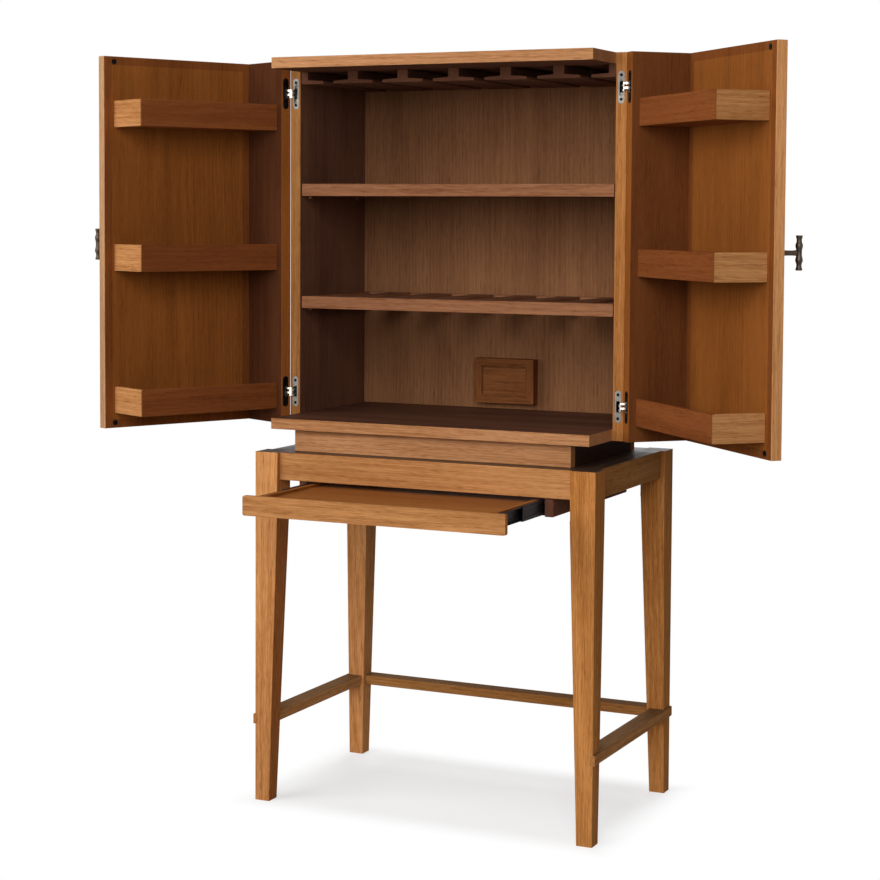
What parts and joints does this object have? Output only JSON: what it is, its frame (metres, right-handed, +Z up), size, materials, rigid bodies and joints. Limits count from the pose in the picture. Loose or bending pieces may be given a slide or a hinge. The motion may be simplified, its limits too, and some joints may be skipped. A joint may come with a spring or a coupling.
{
  "type": "bar armoire",
  "caption": "Wooden bar armoire with deep hinged doors holding bottle racks, stemware rails, a slotted shelf, and a pull-out tray in a tapered-leg stand.",
  "frame": {"origin": "on the floor, in the middle of the whole part's width and depth as posed, with both doors open and the tray drawn out", "axes": "+X to the right as seen from the front, +Y towards the back, +Z up"},
  "size_m": [1.6498, 0.75, 1.722],
  "materials": {
    "stand_wood": "satin brown-stained oak",
    "case_wood": "satin brown-stained oak veneer",
    "inner_wood": "satin brown-stained oak, seen in shade",
    "door_wood": "satin brown-stained oak veneer, grain upright",
    "rack_wood": "satin brown-stained oak, grain lengthwise",
    "aged_bronze": "dark aged bronze with worn edges",
    "hinge_steel": "satin nickel plate",
    "slide_steel": "black, slightly glossy"
  },
  "bodies": {
    "carcase": {"leg_front_left": "stand_wood", "leg_back_left": "stand_wood", "leg_front_right": "stand_wood", "leg_back_right": "stand_wood", "rail_left": "stand_wood", "rail_right": "stand_wood", "rail_front": "stand_wood", "rail_back": "stand_wood", "stretcher_left": "stand_wood", "stretcher_right": "stand_wood", "stretcher_back": "stand_wood", "stand_top": "stand_wood", "plinth_left": "stand_wood", "plinth_right": "stand_wood", "plinth_front": "stand_wood", "plinth_back": "stand_wood", "case_side_left": "case_wood", "case_side_right": "case_wood", "case_top": "case_wood", "case_bottom": "case_wood", "shelf_upper": "case_wood", "shelf_slotted": "case_wood", "case_back": "inner_wood", "cable_cover": "inner_wood", "stem_rail_1": "inner_wood", "stem_rail_2": "inner_wood", "stem_rail_3": "inner_wood", "stem_rail_4": "inner_wood", "stem_rail_5": "inner_wood", "stem_rail_end_left": "inner_wood", "stem_rail_end_right": "inner_wood", "tray_runner_left": "inner_wood", "tray_runner_right": "inner_wood", "case_hinge_left_lower": "hinge_steel", "case_hinge_left_upper": "hinge_steel", "case_hinge_right_lower": "hinge_steel", "case_hinge_right_upper": "hinge_steel", "slide_outer_left": "slide_steel", "slide_outer_right": "slide_steel"},
    "door_left": {"left_door_boards": "door_wood", "left_door_rack_lower": "rack_wood", "left_door_rack_middle": "rack_wood", "left_door_rack_upper": "rack_wood", "left_door_handle": "aged_bronze", "left_door_hinge_lower": "hinge_steel", "left_door_hinge_upper": "hinge_steel"},
    "door_right": {"right_door_boards": "door_wood", "right_door_rack_lower": "rack_wood", "right_door_rack_middle": "rack_wood", "right_door_rack_upper": "rack_wood", "right_door_handle": "aged_bronze", "right_door_hinge_lower": "hinge_steel", "right_door_hinge_upper": "hinge_steel"},
    "tray": {"tray_front": "stand_wood", "tray_rim": "inner_wood", "tray_panel": "inner_wood", "slide_inner_left": "slide_steel", "slide_inner_right": "slide_steel"},
    "tray_slides": {"slide_middle_left": "slide_steel", "slide_middle_right": "slide_steel"}
  },
  "joints": [
    {"name": "left_door_hinge", "type": "hinge", "parent": "carcase", "child": "door_left", "pos_m": [-0.4532, 0.02725, 0], "axis": [0, 0, -1], "range_deg": [-116.2, 63.8]},
    {"name": "right_door_hinge", "type": "hinge", "parent": "carcase", "child": "door_right", "pos_m": [0.3883, 0.02725, 0], "axis": [0, 0, 1], "range_deg": [-134.5, 45.5]},
    {"name": "tray_slide", "type": "slide", "parent": "carcase", "child": "tray", "axis": [0, -1, 0], "range_m": [-0.237, 0.11]},
    {"name": "middle_slide", "type": "slide", "parent": "carcase", "child": "tray_slides", "axis": [0, -1, 0], "range_m": [-0.1186, 0.0551]}
  ],
  "couplings": [
    {"joint": "middle_slide", "follows": "tray_slide", "ratio": 0.5}
  ]
}
